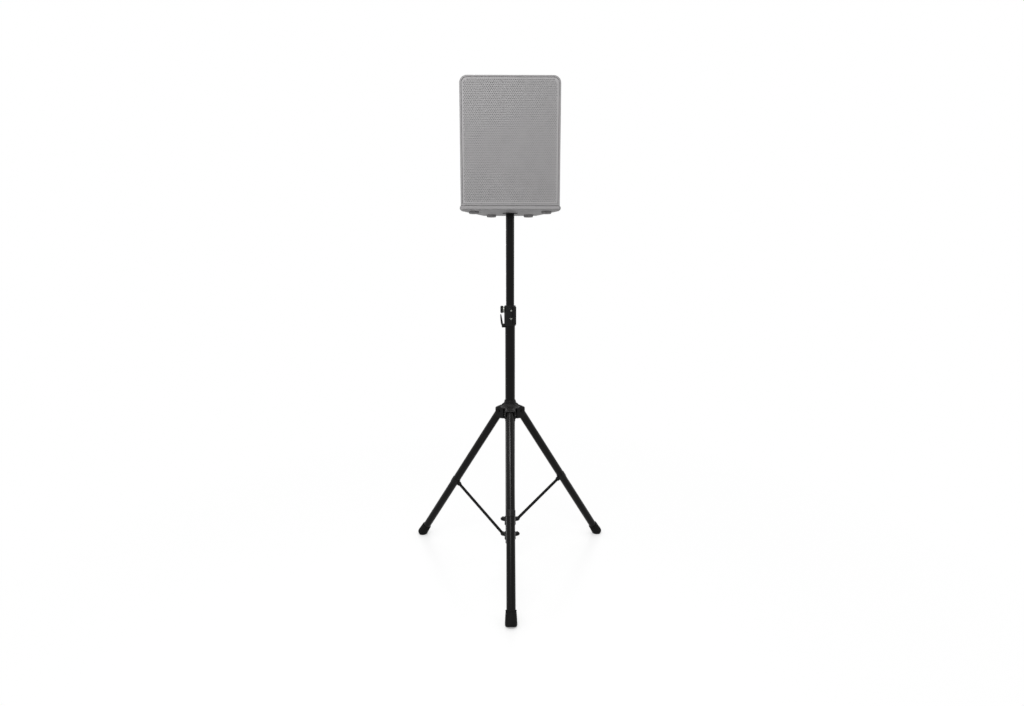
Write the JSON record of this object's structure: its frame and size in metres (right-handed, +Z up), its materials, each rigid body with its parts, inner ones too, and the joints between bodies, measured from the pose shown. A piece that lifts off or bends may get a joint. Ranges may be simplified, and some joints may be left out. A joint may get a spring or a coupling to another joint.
{
  "type": "pa speaker on a tripod stand",
  "caption": "Two-way PA loudspeaker with a full-front perforated grille on a folding black tripod stand with a sliding hub, braced legs and a clamped height pole.",
  "frame": {"origin": "middle of the footprint's box on the floor", "axes": "+Z up the mast, front grille and front leg face -Y, +X to the viewer's right"},
  "size_m": [0.9068, 0.7912, 2.017],
  "materials": {
    "black_powder_coat": "satin black powder coat",
    "black_nylon": "moulded black nylon",
    "rubber": "matt black rubber",
    "grey_rubber": "matt grey rubber",
    "zinc": "bright zinc plate",
    "grey_shell": "textured mid-grey moulding",
    "grey_steel": "grey powder coat on perforated sheet",
    "foam": "open-cell foam",
    "baffle_black": "moulded black",
    "paper": "pressed paper pulp",
    "basket_steel": "painted pressed steel",
    "ferrite": "ferrite and steel plates",
    "board": "circuit board with coils"
  },
  "bodies": {
    "mast": {"mast_tube": "black_powder_coat", "mast_end_plug": "black_nylon", "height_collar": "black_nylon", "collar_liner": "black_nylon", "pin_barrel": "zinc", "lever_pin": "black_powder_coat", "upper_brace_ring": "black_nylon", "lower_brace_ring": "black_nylon"},
    "pole": {"pole_tube": "black_powder_coat", "pole_top_plug": "black_nylon", "pole_guide": "black_nylon"},
    "speaker": {"cabinet_shell": "grey_shell", "bottom_cap": "grey_shell", "front_baffle": "baffle_black", "front_grille": "grey_steel", "grille_foam": "foam", "pole_socket": "black_nylon", "rubber_foot_front_right": "grey_rubber", "rubber_foot_front_left": "grey_rubber", "rubber_foot_rear_right": "grey_rubber", "rubber_foot_rear_left": "grey_rubber", "woofer_basket": "basket_steel", "woofer_magnet": "ferrite", "woofer_surround": "rubber", "horn_flare": "baffle_black", "compression_driver": "ferrite", "crossover_board": "board", "input_plate": "black_powder_coat", "input_socket_right": "black_nylon", "input_socket_left": "black_nylon", "handle_cup_right": "grey_shell", "handle_cup_left": "grey_shell"},
    "cone": {"woofer_cone": "paper"},
    "hub": {"leg_hub": "black_nylon", "hub_top_ring": "black_nylon", "leg_bolt_front": "black_powder_coat", "leg_bolt_right": "black_powder_coat", "leg_bolt_left": "black_powder_coat"},
    "hub_knob": {"hub_clamp_knob": "black_nylon"},
    "lever": {"clamp_lever": "black_nylon"},
    "lock_pin": {"locking_pin": "black_nylon"},
    "leg_front": {"leg_tube_front": "black_powder_coat", "leg_top_plug_front": "black_nylon", "foot_boot_front": "rubber", "strut_bracket_front": "black_nylon", "strut_rivet_front": "black_powder_coat"},
    "strut_front_bar": {"strut_front": "black_powder_coat"},
    "leg_right": {"leg_tube_right": "black_powder_coat", "leg_top_plug_right": "black_nylon", "foot_boot_right": "rubber", "strut_bracket_right": "black_nylon", "strut_rivet_right": "black_powder_coat"},
    "strut_right_bar": {"strut_right": "black_powder_coat"},
    "leg_left": {"leg_tube_left": "black_powder_coat", "leg_top_plug_left": "black_nylon", "foot_boot_left": "rubber", "strut_bracket_left": "black_nylon", "strut_rivet_left": "black_powder_coat"},
    "strut_left_bar": {"strut_left": "black_powder_coat"}
  },
  "joints": [
    {"name": "height_slide", "type": "slide", "parent": "mast", "child": "pole", "axis": [0, 0, 1], "range_m": [-0.35, 0.22]},
    {"name": "speaker_swivel", "type": "hinge", "parent": "pole", "child": "speaker", "pos_m": [0, 0.12313, 1.55], "axis": [0, 0, 1], "continuous": true},
    {"name": "hub_slide", "type": "slide", "parent": "mast", "child": "hub", "axis": [0, 0, 1], "range_m": [0, 0.17335]},
    {"name": "leg_front_fold", "type": "hinge", "parent": "hub", "child": "leg_front", "pos_m": [0, 0.07513, 0.68501], "axis": [1, 0, 0], "range_deg": [0, 30.2]},
    {"name": "strut_front_swing", "type": "hinge", "parent": "leg_front", "child": "strut_front_bar", "pos_m": [0, -0.13401, 0.3257], "axis": [-1, 0, 0], "range_deg": [0, 84.64]},
    {"name": "leg_right_fold", "type": "hinge", "parent": "hub", "child": "leg_right", "pos_m": [0.04157, 0.14713, 0.68501], "axis": [-0.5, 0.866, 0], "range_deg": [0, 30.2]},
    {"name": "strut_right_swing", "type": "hinge", "parent": "leg_right", "child": "strut_right_bar", "pos_m": [0.2227, 0.25171, 0.3257], "axis": [0.5, -0.866, 0], "range_deg": [0, 84.64]},
    {"name": "leg_left_fold", "type": "hinge", "parent": "hub", "child": "leg_left", "pos_m": [-0.04157, 0.14713, 0.68501], "axis": [-0.5, -0.866, 0], "range_deg": [0, 30.2]},
    {"name": "strut_left_swing", "type": "hinge", "parent": "leg_left", "child": "strut_left_bar", "pos_m": [-0.2375, 0.26025, 0.30002], "axis": [0.5, 0.866, 0], "range_deg": [0, 79.04]},
    {"name": "hub_knob_turn", "type": "hinge", "parent": "hub", "child": "hub_knob", "pos_m": [0, 0.16813, 0.672], "axis": [0, 1, 0], "range_deg": [0, 540]},
    {"name": "clamp_lever_swing", "type": "hinge", "parent": "mast", "child": "lever", "pos_m": [-0.0305, 0.12313, 1.0585], "axis": [0, -1, 0], "range_deg": [0, 100]},
    {"name": "lock_pin_pull", "type": "slide", "parent": "mast", "child": "lock_pin", "axis": [-1, 0, 0], "range_m": [0, 0.01], "stiffness_N_per_m": 500, "springref_m": -0.004},
    {"name": "cone_travel", "type": "slide", "parent": "speaker", "child": "cone", "axis": [0, -1, 0], "range_m": [-0.004, 0.004], "stiffness_N_per_m": 1500}
  ],
  "couplings": [
    {"joint": "leg_front_fold", "follows": "hub_slide", "rad_per_m": 3.0356},
    {"joint": "strut_front_swing", "follows": "hub_slide", "rad_per_m": 8.5119},
    {"joint": "leg_right_fold", "follows": "hub_slide", "rad_per_m": 3.0356},
    {"joint": "strut_right_swing", "follows": "hub_slide", "rad_per_m": 8.5119},
    {"joint": "leg_left_fold", "follows": "hub_slide", "rad_per_m": 3.0356},
    {"joint": "strut_left_swing", "follows": "hub_slide", "rad_per_m": 7.9482}
  ]
}
